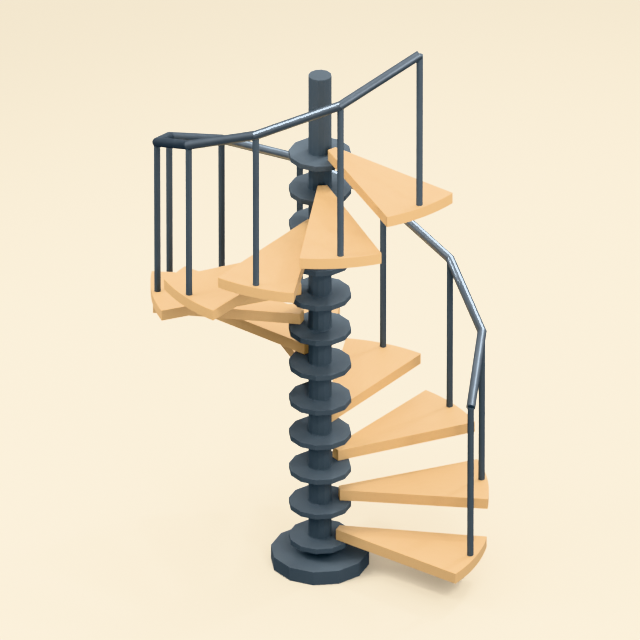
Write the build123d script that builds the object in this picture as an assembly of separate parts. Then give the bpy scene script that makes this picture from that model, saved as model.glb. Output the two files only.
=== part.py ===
from build123d import *
import math
import os

# A free-standing spiral stair: a twelve-sided steel column on a drum-shaped foot, one welded collar
# for each tread, solid wooden treads that lie on the collars, and round balusters under a handrail
# of straight tube lengths mitred together.
#
# Millimetres and degrees. The origin is the middle of the foot's underside, on the column's axis.
# +Z is up and +X runs along the middle of the lowest tread. The stair climbs counter-clockwise
# seen from above.

# Flight
tread_count = 12
step_angle = 30.0           # turn from one tread to the next
rise = 200.0                # climb from one tread to the next
first_rise = 219.0          # floor to the top of the lowest tread

# Twelve-sided metalwork: a flat of every polygon faces along each tread
polygon_sides = 12
base_corner_radius = 250.0
base_height = 77.0
column_corner_radius = 59.0
column_wall = 5.0
column_above_last_tread = 377.0
cap_thickness = 8.0
collar_corner_radius = 159.0
collar_thickness = 30.0
plate_edge = 1.5            # bevel that breaks the sharp edges of base, collars and cap

# Treads
tread_outer_radius = 850.0
tread_angle = 28.0          # between the two straight sides, which point at the column's axis
tread_thickness = 60.0
tread_column_gap = 40.0     # from the column's flat to the tread's inner end
tread_edge = 2.0            # rounding of the wood's edges

# Balusters and handrail
baluster_inset = 30.0       # baluster axis inside the tread's curved edge
baluster_diameter = 34.0
baluster_wall = 2.6
baluster_plug = 12.0        # solid top of the tube below the handrail's underside
rail_height = 850.0         # tread top to handrail axis, at the baluster
rail_diameter = 48.0
rail_wall = 2.6
rail_end_plate = 4.0        # closes the two free ends of the handrail

# Derived
base_top = base_height
last_tread_top = first_rise + rise * (tread_count - 1)
column_top = last_tread_top + column_above_last_tread
column_flat_radius = column_corner_radius * math.cos(math.pi / polygon_sides)
tread_inner_face = column_flat_radius + tread_column_gap
baluster_circle_radius = tread_outer_radius - baluster_inset
polygon_turn = 180.0 / polygon_sides


def polygon_prism(corner_radius, bottom, height):
    """A regular prism on the stair's axis, with a flat facing along +X."""
    outline = Rot(0, 0, polygon_turn) * RegularPolygon(corner_radius, polygon_sides)
    return Pos(0, 0, bottom) * extrude(outline, height)


def bevelled(prism):
    """The prism with its top and bottom edges broken."""
    level_edges = prism.edges().filter_by(Plane.XY)
    return chamfer(level_edges, plate_edge)


def tread_top(number):
    """Height of a tread's walking surface. Number 1 is the lowest."""
    return first_rise + rise * (number - 1)


def direction_angle(number):
    """Angle about Z of a tread's middle line."""
    return step_angle * (number - 1)


def make_base():
    """The twelve-sided foot that the column stands on."""
    return bevelled(polygon_prism(base_corner_radius, 0, base_height))


def make_column():
    """The hollow twelve-sided post, from the foot to the underside of its cap."""
    length = column_top - cap_thickness - base_top
    wall_corner = column_wall / math.cos(math.pi / polygon_sides)
    outside = polygon_prism(column_corner_radius, base_top, length)
    return outside - polygon_prism(column_corner_radius - wall_corner, base_top, length)


def make_column_cap():
    """The flat plate that closes the column's top, flush with its sides."""
    plate = polygon_prism(column_corner_radius, column_top - cap_thickness, cap_thickness)
    return chamfer(plate.edges().group_by(Axis.Z)[-1], plate_edge)


def make_collar(number):
    """The plate welded around the column under one tread."""
    bottom = tread_top(number) - tread_thickness - collar_thickness
    plate = bevelled(polygon_prism(collar_corner_radius, bottom, collar_thickness))
    return plate - polygon_prism(column_corner_radius, bottom, collar_thickness)


def make_tread(number):
    """A wooden wedge with an arc for its outer edge, its inner end cut square to its middle."""
    half_angle = math.radians(tread_angle / 2)
    inner_half_width = tread_inner_face * math.tan(half_angle)
    inner_right = (tread_inner_face, -inner_half_width)
    inner_left = (tread_inner_face, inner_half_width)
    outer_right = (tread_outer_radius * math.cos(half_angle), -tread_outer_radius * math.sin(half_angle))
    outer_left = (outer_right[0], -outer_right[1])
    outline = make_face([
        Line(inner_left, inner_right),
        Line(inner_right, outer_right),
        ThreePointArc(outer_right, (tread_outer_radius, 0), outer_left),
        Line(outer_left, inner_left),
    ])
    board = extrude(outline, tread_thickness)
    board = fillet(board.edges(), tread_edge)
    return Pos(0, 0, tread_top(number) - tread_thickness) * Rot(0, 0, direction_angle(number)) * board


def rail_point(number):
    """Where the handrail's axis crosses a baluster's axis."""
    angle = math.radians(direction_angle(number))
    return Vector(
        baluster_circle_radius * math.cos(angle),
        baluster_circle_radius * math.sin(angle),
        tread_top(number) + rail_height,
    )


def rail_direction(number):
    """Unit vector along the handrail length that starts at a baluster."""
    return (rail_point(number + 1) - rail_point(number)).normalized()


def joint_plane(number):
    """The plane the handrail is cut on at a baluster: a mitre, or square at the two free ends."""
    if number == 1:
        normal = rail_direction(1)
    elif number == tread_count:
        normal = rail_direction(tread_count - 1)
    else:
        normal = (rail_direction(number - 1) + rail_direction(number)).normalized()
    return Plane(origin=rail_point(number), z_dir=normal)


def rail_rod(number, diameter, start_trim=0.0, end_trim=0.0):
    """A round rod along one handrail length, cut on the planes at both of its balusters."""
    start, end = rail_point(number), rail_point(number + 1)
    overrun = rail_diameter
    length = (end - start).length + 2 * overrun
    axis = Plane(origin=start - rail_direction(number) * overrun, z_dir=rail_direction(number))
    rod = extrude(axis * Circle(diameter / 2), length)
    lower_cut = joint_plane(number).offset(start_trim)
    upper_cut = joint_plane(number + 1).offset(-end_trim)
    rod = split(rod, bisect_by=lower_cut, keep=Keep.TOP)
    return split(rod, bisect_by=upper_cut, keep=Keep.BOTTOM)


def make_handrail_length(number):
    """One straight tube of the handrail, closed by a plate where it is a free end."""
    start_trim = rail_end_plate if number == 1 else 0.0
    end_trim = rail_end_plate if number == tread_count - 1 else 0.0
    bore = rail_rod(number, rail_diameter - 2 * rail_wall, start_trim, end_trim)
    return rail_rod(number, rail_diameter) - bore


def make_baluster(number):
    """A tube from the tread to the handrail's axis, its top shaped to the rail lengths it meets."""
    foot = rail_point(number) - Vector(0, 0, rail_height)
    rod = Pos(foot) * extrude(Circle(baluster_diameter / 2), rail_height)
    for length_number in (number - 1, number):
        if 1 <= length_number < tread_count:
            rod -= rail_rod(length_number, rail_diameter)
    rod = max(rod.solids(), key=lambda solid: solid.volume)
    slope_drop = baluster_diameter / 2 * rise / baluster_circle_radius / math.radians(step_angle)
    bore_height = rail_height - rail_diameter - slope_drop - baluster_plug
    return rod - Pos(foot) * extrude(Circle(baluster_diameter / 2 - baluster_wall), bore_height)


def save(name, shape):
    """Write one piece as one solid, under its own name."""
    solids = shape.solids()
    if len(solids) != 1:
        raise ValueError(f"{name} is {len(solids)} solids")
    solid = solids[0]
    solid.label = name
    export_step(solid, f"parts/{name}.step")


os.makedirs("parts", exist_ok=True)
save("base", make_base())
save("column", make_column())
save("column_cap", make_column_cap())
for number in range(1, tread_count + 1):
    save(f"collar_{number:02d}", make_collar(number))
    save(f"tread_{number:02d}", make_tread(number))
    save(f"baluster_{number:02d}", make_baluster(number))
for number in range(1, tread_count):
    save(f"handrail_{number:02d}", make_handrail_length(number))
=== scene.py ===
import math

import bmesh
import bpy
import numpy as np
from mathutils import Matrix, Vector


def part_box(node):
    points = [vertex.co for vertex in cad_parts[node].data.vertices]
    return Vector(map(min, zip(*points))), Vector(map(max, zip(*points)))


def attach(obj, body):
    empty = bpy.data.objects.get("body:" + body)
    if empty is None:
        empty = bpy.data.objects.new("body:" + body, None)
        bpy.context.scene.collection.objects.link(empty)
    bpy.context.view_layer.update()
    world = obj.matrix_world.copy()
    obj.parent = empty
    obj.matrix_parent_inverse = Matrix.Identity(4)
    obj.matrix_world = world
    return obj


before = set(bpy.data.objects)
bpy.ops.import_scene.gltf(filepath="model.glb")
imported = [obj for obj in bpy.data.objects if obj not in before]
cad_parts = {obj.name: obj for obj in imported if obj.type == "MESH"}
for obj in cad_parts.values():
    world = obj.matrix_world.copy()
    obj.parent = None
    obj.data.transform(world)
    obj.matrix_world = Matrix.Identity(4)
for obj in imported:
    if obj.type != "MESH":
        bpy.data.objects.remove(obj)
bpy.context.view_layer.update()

# ---------------------------------------------------------------------------------------------
# The foot. A twelve-sided steel drum that stands on the floor and carries the whole stair. It is
# blasted and powder coated in satin slate grey, like all the painted steel of the stair.
# ---------------------------------------------------------------------------------------------


def linear(hex_colour):
    """sRGB hex to linear RGB: the gamma curve undone for each channel."""
    s = np.array([int(hex_colour[i:i + 2], 16) for i in (1, 3, 5)]) / 255.0
    return tuple(np.where(s <= 0.04045, s / 12.92, ((s + 0.055) / 1.055) ** 2.4)) + (1.0,)


def add(tree, kind, inputs=None, **settings):
    """Adds one node. A setting names a property or an input. The inputs, by name or number, each
    take a socket to join to or a value. A colour Mix takes the second colour's share at 0 and
    its two colours at 6 and 7, and gives the mixture at output 2."""
    node = tree.nodes.new("ShaderNode" + kind)
    for name, value in settings.items():
        if hasattr(node, name):
            setattr(node, name, value)
        else:
            node.inputs[name.replace("_", " ")].default_value = value
    for name, given in (inputs or {}).items():
        if isinstance(given, bpy.types.NodeSocket):
            tree.links.new(given, node.inputs[name])
        else:
            node.inputs[name].default_value = given
    return node


def new_material(name):
    """An empty node material, its node tree and its output node."""
    material = bpy.data.materials.new(name)
    material.use_nodes = True
    material.node_tree.nodes.clear()
    return material, material.node_tree, add(material.node_tree, "OutputMaterial")


def finish_nodes(names, material):
    """Gives each named CAD node one material, in its first slot."""
    for name in names:
        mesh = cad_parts[name].data
        mesh.materials.clear()
        mesh.materials.append(material)


# Satin powder coat: a soft even sheen over slate grey. The spray leaves a fine orange peel and
# faint clouds where it lies thicker. Sharp edges get a painted highlight, a paler tone mixed in,
# and the level faces of foot and collars beyond the column get painted top light, paler still.
thin_slate, thick_slate = linear("#474F56"), linear("#4F5960")  # a thin and a thick coat
painted_edge_highlight = linear("#67727A")
painted_top_light_slate = linear("#7C8A94")
cloud_mm = 240.0            # breadth of a thick or thin area of the coat
peel_mm = 2.6               # pitch of the orange peel; real peel is nearer 1 mm, too fine to show
edge_highlight_width = 0.003          # of the painted edge highlight, m
edge_highlight_share = 0.2            # most of the painted highlight tone that an edge takes
top_light_shares = (0.07, 0.14)  # least and most of the painted top light that a level face takes
top_light_beyond = 0.062      # from the axis, just outside the column, m
coat_roughness = (0.56, 0.66)

powder_coat, tree, output = new_material("satin_powder_coat_on_steel")
place = add(tree, "TexCoord").outputs["Object"]
cloud = add(tree, "TexNoise", {"Vector": place}, Scale=1000 / cloud_mm, Detail=3.0).outputs["Fac"]
peel = add(tree, "TexNoise", {"Vector": place}, Scale=1000 / peel_mm, Detail=1.0).outputs["Fac"]
slate = add(tree, "Mix", {0: cloud, 6: thin_slate, 7: thick_slate}, data_type="RGBA")

# Painted highlight: a paler tone mixed in along sharp edges, where the bevelled normal bends.
rounded = add(tree, "Bevel", samples=4, Radius=edge_highlight_width)
true_face = add(tree, "NewGeometry").outputs["Normal"]
bend = add(tree, "VectorMath", {0: rounded.outputs["Normal"], 1: true_face},
           operation="DOT_PRODUCT")
edge = add(tree, "MapRange", {"Value": bend.outputs["Value"]},
           From_Min=0.995, From_Max=0.85, To_Min=0.0, To_Max=edge_highlight_share)
coat = add(tree, "Mix", {0: edge.outputs[0], 6: slate.outputs[2], 7: painted_edge_highlight},
           data_type="RGBA")

# Painted top light: level faces beyond the column are mixed toward a paler slate, by a share that
# varies with the coat's clouds.
face_parts = add(tree, "SeparateXYZ", {0: true_face})
level = add(tree, "MapRange", {"Value": face_parts.outputs["Z"]}, From_Min=0.9, From_Max=0.99)
level_place = add(tree, "VectorMath", {0: place, 1: (1.0, 1.0, 0.0)}, operation="MULTIPLY")
from_axis = add(tree, "VectorMath", {0: level_place.outputs[0]}, operation="LENGTH")
beyond = add(tree, "Math", {0: from_axis.outputs["Value"], 1: top_light_beyond},
             operation="GREATER_THAN")
painted_top_light_faces = add(tree, "Math", {0: level.outputs[0], 1: beyond.outputs[0]}, operation="MULTIPLY")
top_light_amounts = add(tree, "MapRange", {"Value": cloud}, From_Min=0.35, From_Max=0.65,
             To_Min=top_light_shares[0], To_Max=top_light_shares[1])
painted_top_light = add(tree, "Math", {0: painted_top_light_faces.outputs[0], 1: top_light_amounts.outputs[0]}, operation="MULTIPLY")
coat_with_painted_top_light = add(tree, "Mix", {0: painted_top_light.outputs[0], 6: coat.outputs[2], 7: painted_top_light_slate},
           data_type="RGBA")

gloss = add(tree, "MapRange", {"Value": cloud}, From_Min=0.3, From_Max=0.7,
            To_Min=coat_roughness[0], To_Max=coat_roughness[1])
relief = add(tree, "Bump", {"Height": peel}, Strength=0.12, Distance=0.0004)
skin = add(tree, "BsdfPrincipled", {
    "Base Color": coat_with_painted_top_light.outputs[2],
    "Roughness": gloss.outputs[0],
    "Normal": relief.outputs[0],
}, Specular_IOR_Level=0.09)
tree.links.new(skin.outputs[0], output.inputs["Surface"])
finish_nodes(["base"], powder_coat)

# ---------------------------------------------------------------------------------------------
# The column. A twelve-sided hollow steel post, welded to the foot and closed by a flat cap. It has
# the foot's powder coat.
# ---------------------------------------------------------------------------------------------
column_corner = 0.059       # from the axis to a corner, m
base_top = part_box("base")[1][2]

finish_nodes(["column", "column_cap"], powder_coat)


def twelve_sided(corner_radius, angles):
    """Distance from the axis to a twelve-sided outline with a flat at angle zero: the flat's
    distance over the cosine of the angle to the nearest flat's middle."""
    sixth = math.pi / 6
    from_flat = (angles + sixth / 2) % sixth - sixth / 2
    return corner_radius * math.cos(sixth / 2) / np.cos(from_flat)


def grid_piece(name, grids, material, wrap_rows=False):
    """A fixed piece of the stair from equal grids of points, shaped (copies, rows, columns, 3).
    Each point joins the next in its row, round to the first again, and the one in the row after
    it. Rows that shrink to one point are merged into a closed pole."""
    copies, rows, columns, _ = grids.shape
    joined_rows = np.arange(rows if wrap_rows else rows - 1)
    row, column = np.meshgrid(joined_rows, np.arange(columns), indexing="ij")
    after_row, after_column = (row + 1) % rows, (column + 1) % columns
    corners = [row * columns + column, row * columns + after_column,
               after_row * columns + after_column, after_row * columns + column]
    quads = np.stack(corners, -1).reshape(-1, 4)
    first_points = (np.arange(copies) * rows * columns)[:, None, None]
    quads = (quads[None] + first_points).reshape(-1, 4)
    mesh = bpy.data.meshes.new(name)
    mesh.from_pydata(grids.reshape(-1, 3).tolist(), [], quads.tolist())
    build = bmesh.new()
    build.from_mesh(mesh)
    bmesh.ops.remove_doubles(build, verts=build.verts, dist=1e-6)
    bmesh.ops.recalc_face_normals(build, faces=build.faces)
    build.to_mesh(mesh)
    build.free()
    mesh.materials.append(material)
    piece = bpy.data.objects.new(name, mesh)
    bpy.context.scene.collection.objects.link(piece)
    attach(piece, "root")


def weld_beads(paths, outward, radius, ripple):
    """Round beads along closed paths, shaped (copies, points, 3). Round each path point runs a
    circle in the plane of outward and the vector square to it and to the path. Its radius swells
    and shrinks by a sixteenth along the path, once for each ripple."""
    ahead = np.roll(paths, -1, 1) - np.roll(paths, 1, 1)
    ahead /= np.linalg.norm(ahead, axis=2, keepdims=True)
    across = outward - (outward * ahead).sum(2, keepdims=True) * ahead
    across /= np.linalg.norm(across, axis=2, keepdims=True)
    upward = np.cross(ahead, across)
    steps = np.linalg.norm(np.roll(paths, -1, 1) - paths, axis=2)
    travelled = np.cumsum(steps, 1) - steps
    length = steps.sum(1, keepdims=True)
    ripples = np.round(length / ripple)
    swell = radius * (1 + np.cos(2 * math.pi * ripples * travelled / length) / 16)
    turn = np.linspace(0, 2 * math.pi, 10, endpoint=False)
    circle = (np.cos(turn)[:, None] * across[:, :, None]
              + np.sin(turn)[:, None] * upward[:, :, None])
    return paths[:, :, None] + swell[:, :, None, None] * circle


# The bead between column and foot: one pass all round, painted over.
foot_bead = 0.004           # radius of the bead, m
foot_ripple = 0.006         # advance of the torch between ripples, m
ring_points = 240

around = np.linspace(0, 2 * math.pi, ring_points, endpoint=False)
radial = np.stack([np.cos(around), np.sin(around), np.zeros(ring_points)], 1)
column_line = radial * twelve_sided(column_corner, around)[:, None]
foot_line = column_line + [0, 0, base_top]
foot_weld = weld_beads(foot_line[None], radial[None], foot_bead, foot_ripple)
grid_piece("foot_weld", foot_weld, powder_coat, wrap_rows=True)

# ---------------------------------------------------------------------------------------------
# The collars. One thick twelve-sided steel plate for each tread, slid over the column and welded
# to it above and below, then powder coated with it.
# ---------------------------------------------------------------------------------------------
tread_numbers = range(1, 13)
collar_bead = 0.003
collar_ripple = 0.005

finish_nodes([f"collar_{n:02d}" for n in tread_numbers], powder_coat)

collar_tops = np.array([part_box(f"collar_{n:02d}")[1][2] for n in tread_numbers])
collar_bottoms = np.array([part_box(f"collar_{n:02d}")[0][2] for n in tread_numbers])
joint_heights = np.concatenate([collar_tops, collar_bottoms])
rings = column_line[None] + joint_heights[:, None, None] * [0, 0, 1]
ring_outward = np.broadcast_to(radial, rings.shape)
collar_welds = weld_beads(rings, ring_outward, collar_bead, collar_ripple)
grid_piece("collar_welds", collar_welds, powder_coat, wrap_rows=True)

# ---------------------------------------------------------------------------------------------
# The treads. Solid oiled beech wedges, each glued up from staves that run along it. They lie on
# the collars.
# ---------------------------------------------------------------------------------------------
step_degrees = 30.0         # from one tread to the next
step_turn = math.radians(step_degrees)
stave_width = 0.056

# Oiled beech: pale gold, with growth rings a few millimetres apart, short darker flecks, staves
# that differ a little in tone, darker end grain and a soft, low sheen that varies with the grain.
early_wood, late_wood = linear("#D1AC7B"), linear("#CDA878")
ring_mm = 5.0               # real rings are 2 to 4 mm, drawn a little coarser to show
fibre_mm = (110.0, 2.2)     # length and breadth of a streak; real fibres are finer
fleck_mm = (14.0, 2.4)      # rays show as flecks 2 to 4 mm long, drawn coarser to show
log_spread = (3.0, 0.09, 0.03)  # how far apart in the log two staves may come from, m
ring_stretch = (0.05, 1.0, 1.0)  # the rings hardly change along the grain
ring_wander = (0.0, 0.05, 0.05)  # how far they stray from true circles, m
wander_per_m = 2.2          # bends of the trunk that they follow
oil_roughness = (0.44, 0.58)

beech, tree, output = new_material("oiled_glued_beech")
place = add(tree, "TexCoord").outputs["Object"]

# Each tread's grain runs out from the column, so the pattern is turned back by the tread's angle.
model = add(tree, "SeparateXYZ", {0: place})
bearing = add(tree, "Math", {0: model.outputs["Y"], 1: model.outputs["X"]}, operation="ARCTAN2")
half_on = add(tree, "Math", {0: bearing.outputs[0], 1: step_turn / 2}, operation="ADD")
middle = add(tree, "Math", {0: half_on.outputs[0], 1: step_turn}, operation="SNAP").outputs[0]
back_turn = add(tree, "Math", {0: middle, 1: -1.0}, operation="MULTIPLY").outputs[0]
board = add(tree, "VectorRotate", {"Vector": place, "Angle": back_turn},
            rotation_type="Z_AXIS").outputs[0]

# A number and a random colour for each stave, which place it somewhere else in the log.
along = add(tree, "SeparateXYZ", {0: board})
stave_at = add(tree, "Math", {0: along.outputs["Y"], 1: stave_width}, operation="DIVIDE")
stave = add(tree, "Math", {0: stave_at.outputs[0]}, operation="FLOOR")
stave_name = add(tree, "CombineXYZ", {"X": middle, "Y": stave.outputs[0]})
chance = add(tree, "TexWhiteNoise", {"Vector": stave_name.outputs[0]}, noise_dimensions="3D")
log_shift = add(tree, "VectorMath", {0: chance.outputs["Color"], 1: log_spread},
                operation="MULTIPLY")
log = add(tree, "VectorMath", {0: board, 1: log_shift.outputs[0]}, operation="ADD").outputs[0]

wander = add(tree, "TexNoise", {"Vector": log}, Scale=wander_per_m, Detail=2.0)
bent = add(tree, "VectorMath", {0: wander.outputs["Color"], 1: ring_wander, 2: log},
           operation="MULTIPLY_ADD")
rings_at = add(tree, "Mapping", {"Vector": bent.outputs[0], "Scale": ring_stretch})
wave_rings = add(tree, "TexWave", {"Vector": rings_at.outputs[0]}, wave_type="RINGS",
                 rings_direction="X", Scale=math.pi / 10 * 1000 / ring_mm, Distortion=1.5,
                 Detail=1.0)
streaks = []
for (length_mm, breadth_mm), detail in ((fibre_mm, 2.0), (fleck_mm, 0.0)):
    stretch = (1000 / length_mm, 1000 / breadth_mm, 1000 / breadth_mm)
    streak_at = add(tree, "Mapping", {"Vector": log, "Scale": stretch})
    streak = add(tree, "TexNoise", {"Vector": streak_at.outputs[0]}, Scale=1.0, Detail=detail)
    streaks.append(streak.outputs["Fac"])
fibre, fleck_noise = streaks
fleck = add(tree, "MapRange", {"Value": fleck_noise}, From_Min=0.64, From_Max=0.74)

true_face = add(tree, "NewGeometry").outputs["Normal"]
board_face = add(tree, "VectorRotate", {"Vector": true_face, "Angle": back_turn},
                 rotation_type="Z_AXIS")
face_parts = add(tree, "SeparateXYZ", {0: board_face.outputs[0]})
end_on = add(tree, "Math", {0: face_parts.outputs["X"]}, operation="ABSOLUTE")
end_grain = add(tree, "MapRange", {"Value": end_on.outputs[0]}, From_Min=0.6, From_Max=0.9)

# Each detail draws the tone toward a colour of its own, by its share at most.
tone = add(tree, "Mix", {0: wave_rings.outputs["Fac"], 6: early_wood, 7: late_wood},
           data_type="RGBA")
for amount, share, colour in (
    (fibre, 0.16, "#C39A69"),
    (chance.outputs["Value"], 0.10, "#C69E6E"),
    (fleck.outputs[0], 0.16, "#B28858"),
    (end_grain.outputs[0], 0.05, "#C59A68"),
):
    weight = add(tree, "Math", {0: amount, 1: share}, operation="MULTIPLY")
    tone = add(tree, "Mix", {0: weight.outputs[0], 6: tone.outputs[2], 7: linear(colour)},
               data_type="RGBA")
sheen = add(tree, "MapRange", {"Value": fibre}, From_Min=0.3, From_Max=0.7,
            To_Min=oil_roughness[0], To_Max=oil_roughness[1])
grain = add(tree, "Bump", {"Height": fibre}, Strength=0.15, Distance=0.0004)
skin = add(tree, "BsdfPrincipled", {
    "Base Color": tone.outputs[2],
    "Roughness": sheen.outputs[0],
    "Normal": grain.outputs[0],
}, Specular_IOR_Level=0.35)
tree.links.new(skin.outputs[0], output.inputs["Surface"])
finish_nodes([f"tread_{n:02d}" for n in tread_numbers], beech)

# ---------------------------------------------------------------------------------------------
# The fixings under the treads. A hexagon bolt on a washer comes up through each tread into its
# baluster, and two button-headed screws come up through each collar. All are stainless steel.
# ---------------------------------------------------------------------------------------------
tread_bottoms = np.array([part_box(f"tread_{n:02d}")[0][2] for n in tread_numbers])
baluster_circle = 0.820     # radius of the circle that the balusters stand on, m
bolt_across_flats = 0.017   # M10 bolt
bolt_chamfer = 1.03         # radius that its corners are turned to, over half its width
screw_circle = 0.127        # radius of the circle that the screws' pairs stand on, m
screw_side = 0.016          # from the tread's middle line to each screw
socket_across_flats = 0.005  # M8 button head


def six_sided(across_flats, angles):
    """Distance from the middle to a hexagon's outline: half the width across its flats over the
    cosine of the angle to the nearest flat's middle."""
    third = math.pi / 3
    return across_flats / 2 / np.cos((angles + third / 2) % third - third / 2)


def hexagon(turn):
    """The bolt head's outline."""
    return six_sided(bolt_across_flats, turn)


def chamfered(turn):
    """The lesser of the hexagon and the circle that breaks its corners."""
    return np.minimum(hexagon(turn), bolt_across_flats / 2 * bolt_chamfer)


def socket(turn):
    """The screw's hexagonal recess."""
    return six_sided(socket_across_flats, turn)


def heads_under(places, profile):
    """Heads turned about vertical axes, hanging from given places. Each row of the profile gives
    a radius, or a function of the angle for it, and the depth below the place."""
    turn = np.linspace(0, 2 * math.pi, 48, endpoint=False)
    radii = np.stack([
        np.broadcast_to(radius(turn) if callable(radius) else radius, turn.shape)
        for radius, _ in profile
    ])
    depths = np.broadcast_to([[depth] for _, depth in profile], radii.shape)
    shape = np.stack([radii * np.cos(turn), radii * np.sin(turn), -depths], -1)
    return np.asarray(places)[:, None, None] + shape


# From the middle of the face against the tread or collar, round to the middle of the head, m.
washer_and_bolt = (
    (0, 0), (0.0150, 0), (0.0150, 0.0016), (0.0146, 0.0020),
    (hexagon, 0.0020), (hexagon, 0.0076), (chamfered, 0.0084), (0.0070, 0.0084), (0, 0.0084),
)
button_head = (
    (0, 0), (0.0068, 0), (0.0070, 0.0008), (0.0064, 0.0024), (0.0050, 0.0036), (0.0036, 0.0042),
    (socket, 0.0042), (socket, 0.0020), (0, 0.0016),
)

# Stainless steel: bright, drawn and machined, with faint turning lines and a soft blur.
shade_steel, light_steel = linear("#A9ADAF"), linear("#C2C5C6")
turning_per_m = 900.0       # lines left by turning; real ones are finer, too fine to show
machined_roughness = (0.26, 0.38)

stainless, tree, output = new_material("machined_stainless_steel")
place = add(tree, "TexCoord").outputs["Object"]
turning = add(tree, "TexNoise", {"Vector": place}, Scale=turning_per_m, Detail=2.0).outputs["Fac"]
bright = add(tree, "Mix", {0: turning, 6: shade_steel, 7: light_steel}, data_type="RGBA")
blur = add(tree, "MapRange", {"Value": turning}, From_Min=0.3, From_Max=0.7,
           To_Min=machined_roughness[0], To_Max=machined_roughness[1])
marks = add(tree, "Bump", {"Height": turning}, Strength=0.1, Distance=0.0002)
skin = add(tree, "BsdfPrincipled", {
    "Base Color": bright.outputs[2],
    "Roughness": blur.outputs[0],
    "Normal": marks.outputs[0],
}, Metallic=1.0)
tree.links.new(skin.outputs[0], output.inputs["Surface"])

headings = np.radians(step_degrees * (np.array(tread_numbers) - 1))
forward = np.stack([np.cos(headings), np.sin(headings), np.zeros_like(headings)], 1)
sideways = np.stack([-np.sin(headings), np.cos(headings), np.zeros_like(headings)], 1)
upright = np.array([0.0, 0.0, 1.0])

bolt_places = baluster_circle * forward + tread_bottoms[:, None] * upright
grid_piece("baluster_bolts", heads_under(bolt_places, washer_and_bolt), stainless)

collar_middles = screw_circle * forward + collar_bottoms[:, None] * upright
screw_places = np.concatenate([
    collar_middles - screw_side * sideways,
    collar_middles + screw_side * sideways,
])
grid_piece("collar_screws", heads_under(screw_places, button_head), stainless)

# ---------------------------------------------------------------------------------------------
# The balusters. Round steel tubes, one standing on each tread near its curved edge, powder coated
# like the column. Each top is shaped to the handrail; the ten under its joints are welded to it.
# ---------------------------------------------------------------------------------------------
tread_tops = np.array([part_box(f"tread_{n:02d}")[1][2] for n in tread_numbers])
baluster_radius = 0.017
rail_radius = 0.024
rail_height = 0.850         # from a tread's top to the handrail's axis, m
saddle_bead = 0.0018
saddle_ripple = 0.004
rail_points = baluster_circle * forward + (tread_tops + rail_height)[:, None] * upright

finish_nodes([f"baluster_{n:02d}" for n in tread_numbers], powder_coat)


def saddle(centres, below, above):
    """Where a vertical tube meets the underside of two sloping rods. At each angle round the tube
    the rod's surface is the slope's rise less the depth of its circle at that offset to the side,
    and the rod that lies on that side is the one used. Gives the line and its outward vectors."""
    turn = np.linspace(0, 2 * math.pi, 72, endpoint=False)
    ring = baluster_radius * np.stack([np.cos(turn), np.sin(turn)], 1)
    drops = []
    for rods in (below, above):
        run = np.linalg.norm(rods[:, :2], axis=1)
        level = rods[:, :2] / run[:, None]
        slope = rods[:, 2] / run
        ahead = ring @ level.T
        aside = ring @ np.stack([-level[:, 1], level[:, 0]])
        depth = np.sqrt(rail_radius ** 2 - aside ** 2) * np.sqrt(1 + slope ** 2)
        drops.append((slope * ahead - depth).T)
    forth = below[:, :2] + above[:, :2]
    height = np.where((ring @ forth.T).T > 0, drops[1], drops[0])
    flat = np.broadcast_to(ring, (len(centres),) + ring.shape)
    line = centres[:, None] + np.concatenate([flat, height[..., None]], 2)
    return line, np.concatenate([flat, np.zeros_like(flat[..., :1])], 2)


spans = rail_points[1:] - rail_points[:-1]
spans /= np.linalg.norm(spans, axis=1, keepdims=True)
saddles, saddle_outward = saddle(rail_points[1:-1], spans[:-1], spans[1:])
saddle_welds = weld_beads(saddles, saddle_outward, saddle_bead, saddle_ripple)
grid_piece("baluster_welds", saddle_welds, powder_coat, wrap_rows=True)

# ---------------------------------------------------------------------------------------------
# The handrail. Eleven straight lengths of round steel tube, mitred together over the balusters,
# the welds ground flush and the whole rail polished to a bright blue-grey.
# ---------------------------------------------------------------------------------------------

# Satin-polished steel: a broad soft highlight along each length, faint polishing marks, and a
# thin oxide film that darkens what is seen edge-on.
rail_shade, rail_light = linear("#9CA9B5"), linear("#A3B1BD")
oxide_edge = linear("#89909A")
dull_mm = 45.0              # breadth of the areas that hands have dulled
polish_mm = 1.6             # breadth of the polishing marks; real ones are finer, too fine to show
rail_roughness = (0.33, 0.38)

polished, tree, output = new_material("satin_polished_steel_tube")
place = add(tree, "TexCoord").outputs["Object"]
dull = add(tree, "TexNoise", {"Vector": place}, Scale=1000 / dull_mm, Detail=3.0).outputs["Fac"]
fine = add(tree, "TexNoise", {"Vector": place}, Scale=1000 / polish_mm, Detail=1.0).outputs["Fac"]
steel = add(tree, "Mix", {0: dull, 6: rail_shade, 7: rail_light}, data_type="RGBA")
blur = add(tree, "MapRange", {"Value": dull}, From_Min=0.3, From_Max=0.7,
           To_Min=rail_roughness[0], To_Max=rail_roughness[1])
marks = add(tree, "Bump", {"Height": fine}, Strength=0.05, Distance=0.0002)
skin = add(tree, "BsdfPrincipled", {
    "Base Color": steel.outputs[2],
    "Roughness": blur.outputs[0],
    "Normal": marks.outputs[0],
}, Metallic=1.0, Specular_Tint=oxide_edge)
tree.links.new(skin.outputs[0], output.inputs["Surface"])
finish_nodes([f"handrail_{n:02d}" for n in tread_numbers[:-1]], polished)

# ---------------------------------------------------------------------------------------------
# The studio. A plain cream floor without end, three lamps, two soft panels low beside the stair
# and one over it, pale surroundings and a long lens.
# ---------------------------------------------------------------------------------------------
camera_azimuth = math.radians(22.865)
camera_elevation = 29.275   # degrees
aim = np.array([0.0, 0.0, 1.3933])
view_width = 3.210          # that the camera takes in at the stair, m
lamp_aim = np.array([0.0, 0.0, 1.4])


def toward(bearing, elevation):
    """Unit vector at a bearing from the camera's right-hand side and an elevation, in degrees."""
    turn, rise = math.radians(bearing) + camera_azimuth, math.radians(elevation)
    level = math.cos(rise)
    return np.array([math.cos(turn) * level, math.sin(turn) * level, math.sin(rise)])
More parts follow.
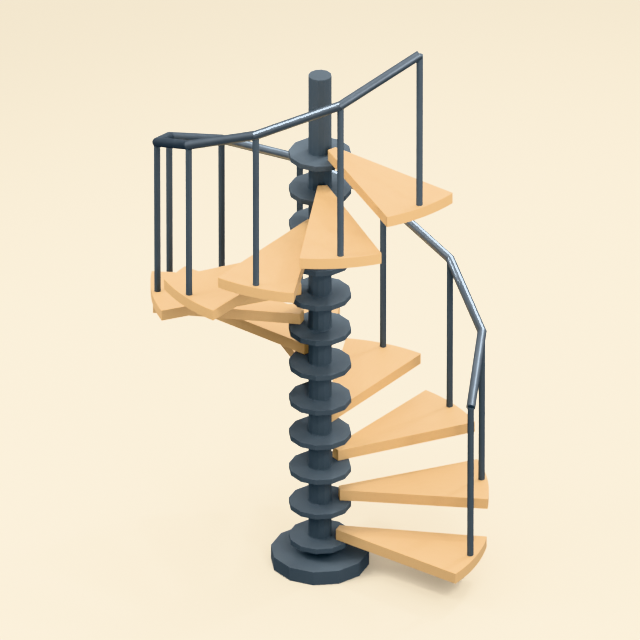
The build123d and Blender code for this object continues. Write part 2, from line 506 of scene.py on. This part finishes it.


# Matt cream paint with a painted pool of light: its colour is paler round the stair and darker far
# off.
painted_lit_cream, cream_far = linear("#E4D8C1"), linear("#BBB19E")
painted_pool_middle = toward(0, 0) * 1.2
painted_pool_edge = (3.4, 6.6)      # where the painted light starts and stops falling away, m
floor_reach = 300.0

floor_mesh = bpy.data.meshes.new("floor")
floor_corners = floor_reach * np.array([(-1, -1, 0), (1, -1, 0), (1, 1, 0), (-1, 1, 0)])
floor_mesh.from_pydata(floor_corners.tolist(), [], [(0, 1, 2, 3)])
floor = bpy.data.objects.new("floor", floor_mesh)
bpy.context.scene.collection.objects.link(floor)
floor.visible_diffuse = False
floor.visible_glossy = False
floor.visible_shadow = False

cream, tree, output = new_material("matt_cream_floor")
place = add(tree, "TexCoord").outputs["Object"]
# The painted pool: the colour goes from the lit cream near the stair to the dim cream far off.
from_pool = add(tree, "VectorMath", {0: place, 1: painted_pool_middle}, operation="DISTANCE")
painted_pool_falloff = add(tree, "MapRange", {"Value": from_pool.outputs["Value"]},
           interpolation_type="SMOOTHSTEP", From_Min=painted_pool_edge[0], From_Max=painted_pool_edge[1])
tint = add(tree, "Mix", {0: painted_pool_falloff.outputs[0], 6: painted_lit_cream, 7: cream_far}, data_type="RGBA")
skin = add(tree, "BsdfDiffuse", {"Color": tint.outputs[2]})
tree.links.new(skin.outputs[0], output.inputs["Surface"])
floor_mesh.materials.append(cream)

# Bearing, elevation and distance from the middle of the stair, width, light that reaches it. The
# panels light the stair without showing in its reflections.
for name, bearing_of, elevation_of, away, width, reaches in (
    ("lamp_back_right", 40, 51, 8.5, 0.7, 0.345),
    ("lamp_left", -164, 50, 9.0, 0.7, 0.250),
    ("lamp_front_right", -51, 38.5, 7.0, 0.6, 0.230),
    ("panel_left", 180, 25, 5.0, 2.2, 0.570),
    ("panel_front", -72, 22, 5.0, 2.2, 0.450),
    ("panel_top", 0, 88, 12.0, 5.0, 0.200),
):
    lamp = bpy.data.lights.new(name, "AREA")
    lamp.shape = "DISK"
    lamp.size = width
    lamp.energy = reaches * (math.pi * away) ** 2
    holder = bpy.data.objects.new(name, lamp)
    bpy.context.scene.collection.objects.link(holder)
    holder.location = toward(bearing_of, elevation_of) * away + lamp_aim
    holder.rotation_euler = (math.radians(90 - elevation_of), 0.0,
                             math.radians(bearing_of + 90) + camera_azimuth)
    holder.visible_glossy = name.startswith("lamp")

# The surroundings' light from each direction is a sum: one even amount, plus weights on the
# direction's parts to the right, to the back and up, on their products, right with back, back
# with up and up with right, and on their squares. What the polished steel mirrors is dimmer and
# brightens upward, and what the camera sees is the far floor's cream.
even_light = 0.943
part_weights = (0.330, 0.568, 1.180)
product_weights = (0.090, 1.270, 0.479)
square_weights = (-0.562, 0.562, 0.153)
mirrored_light = (0.20, 0.43)
seen_light = 1.865

world = bpy.data.worlds.new("pale_surroundings")
bpy.context.scene.world = world
world.use_nodes = True
tree = world.node_tree
tree.nodes.clear()
outward = add(tree, "TexCoord").outputs["Generated"]
direction = add(tree, "VectorRotate", {"Vector": outward}, rotation_type="Z_AXIS",
                Angle=-camera_azimuth).outputs[0]
parts = add(tree, "SeparateXYZ", {0: direction}).outputs
next_parts = add(tree, "CombineXYZ", {0: parts[1], 1: parts[2], 2: parts[0]}).outputs[0]
products = add(tree, "VectorMath", {0: direction, 1: next_parts}, operation="MULTIPLY")
squares = add(tree, "VectorMath", {0: direction, 1: direction}, operation="MULTIPLY")
light = even_light
for vector, weights in (
    (direction, part_weights),
    (products.outputs[0], product_weights),
    (squares.outputs[0], square_weights),
):
    share = add(tree, "VectorMath", {0: vector, 1: weights}, operation="DOT_PRODUCT")
    light = add(tree, "Math", {0: light, 1: share.outputs["Value"]}, operation="ADD").outputs[0]
light = add(tree, "Math", {0: light, 1: 0.0}, operation="MAXIMUM").outputs[0]
soft = add(tree, "Background", {"Strength": light}, Color=(1, 1, 1, 1))
by_height = add(tree, "MapRange", {"Value": parts[2]}, From_Min=-0.35, From_Max=0.25,
                To_Min=mirrored_light[0], To_Max=mirrored_light[1])
mirrored = add(tree, "Background", {"Strength": by_height.outputs[0]}, Color=(1, 1, 1, 1))
seen = add(tree, "Background", Color=cream_far, Strength=seen_light)
ray = add(tree, "LightPath").outputs
other = add(tree, "MixShader", {
    0: ray["Is Glossy Ray"],
    1: soft.outputs[0],
    2: mirrored.outputs[0],
})
sky = add(tree, "MixShader", {
    0: ray["Is Camera Ray"],
    1: other.outputs[0],
    2: seen.outputs[0],
})
tree.links.new(sky.outputs[0], add(tree, "OutputWorld").inputs["Surface"])
bpy.context.scene.view_settings.view_transform = "Khronos PBR Neutral"

lens = bpy.data.cameras.new("camera")
lens.lens = 1600.0
lens.sensor_width = 36.0
lens.clip_start = 1.0
lens.clip_end = 400.0
camera = bpy.data.objects.new("camera", lens)
bpy.context.scene.collection.objects.link(camera)
camera_distance = view_width * lens.lens / lens.sensor_width
camera.location = toward(-90, camera_elevation) * camera_distance + aim
camera.rotation_euler = (math.radians(90 - camera_elevation), 0.0, camera_azimuth)
bpy.context.scene.camera = camera
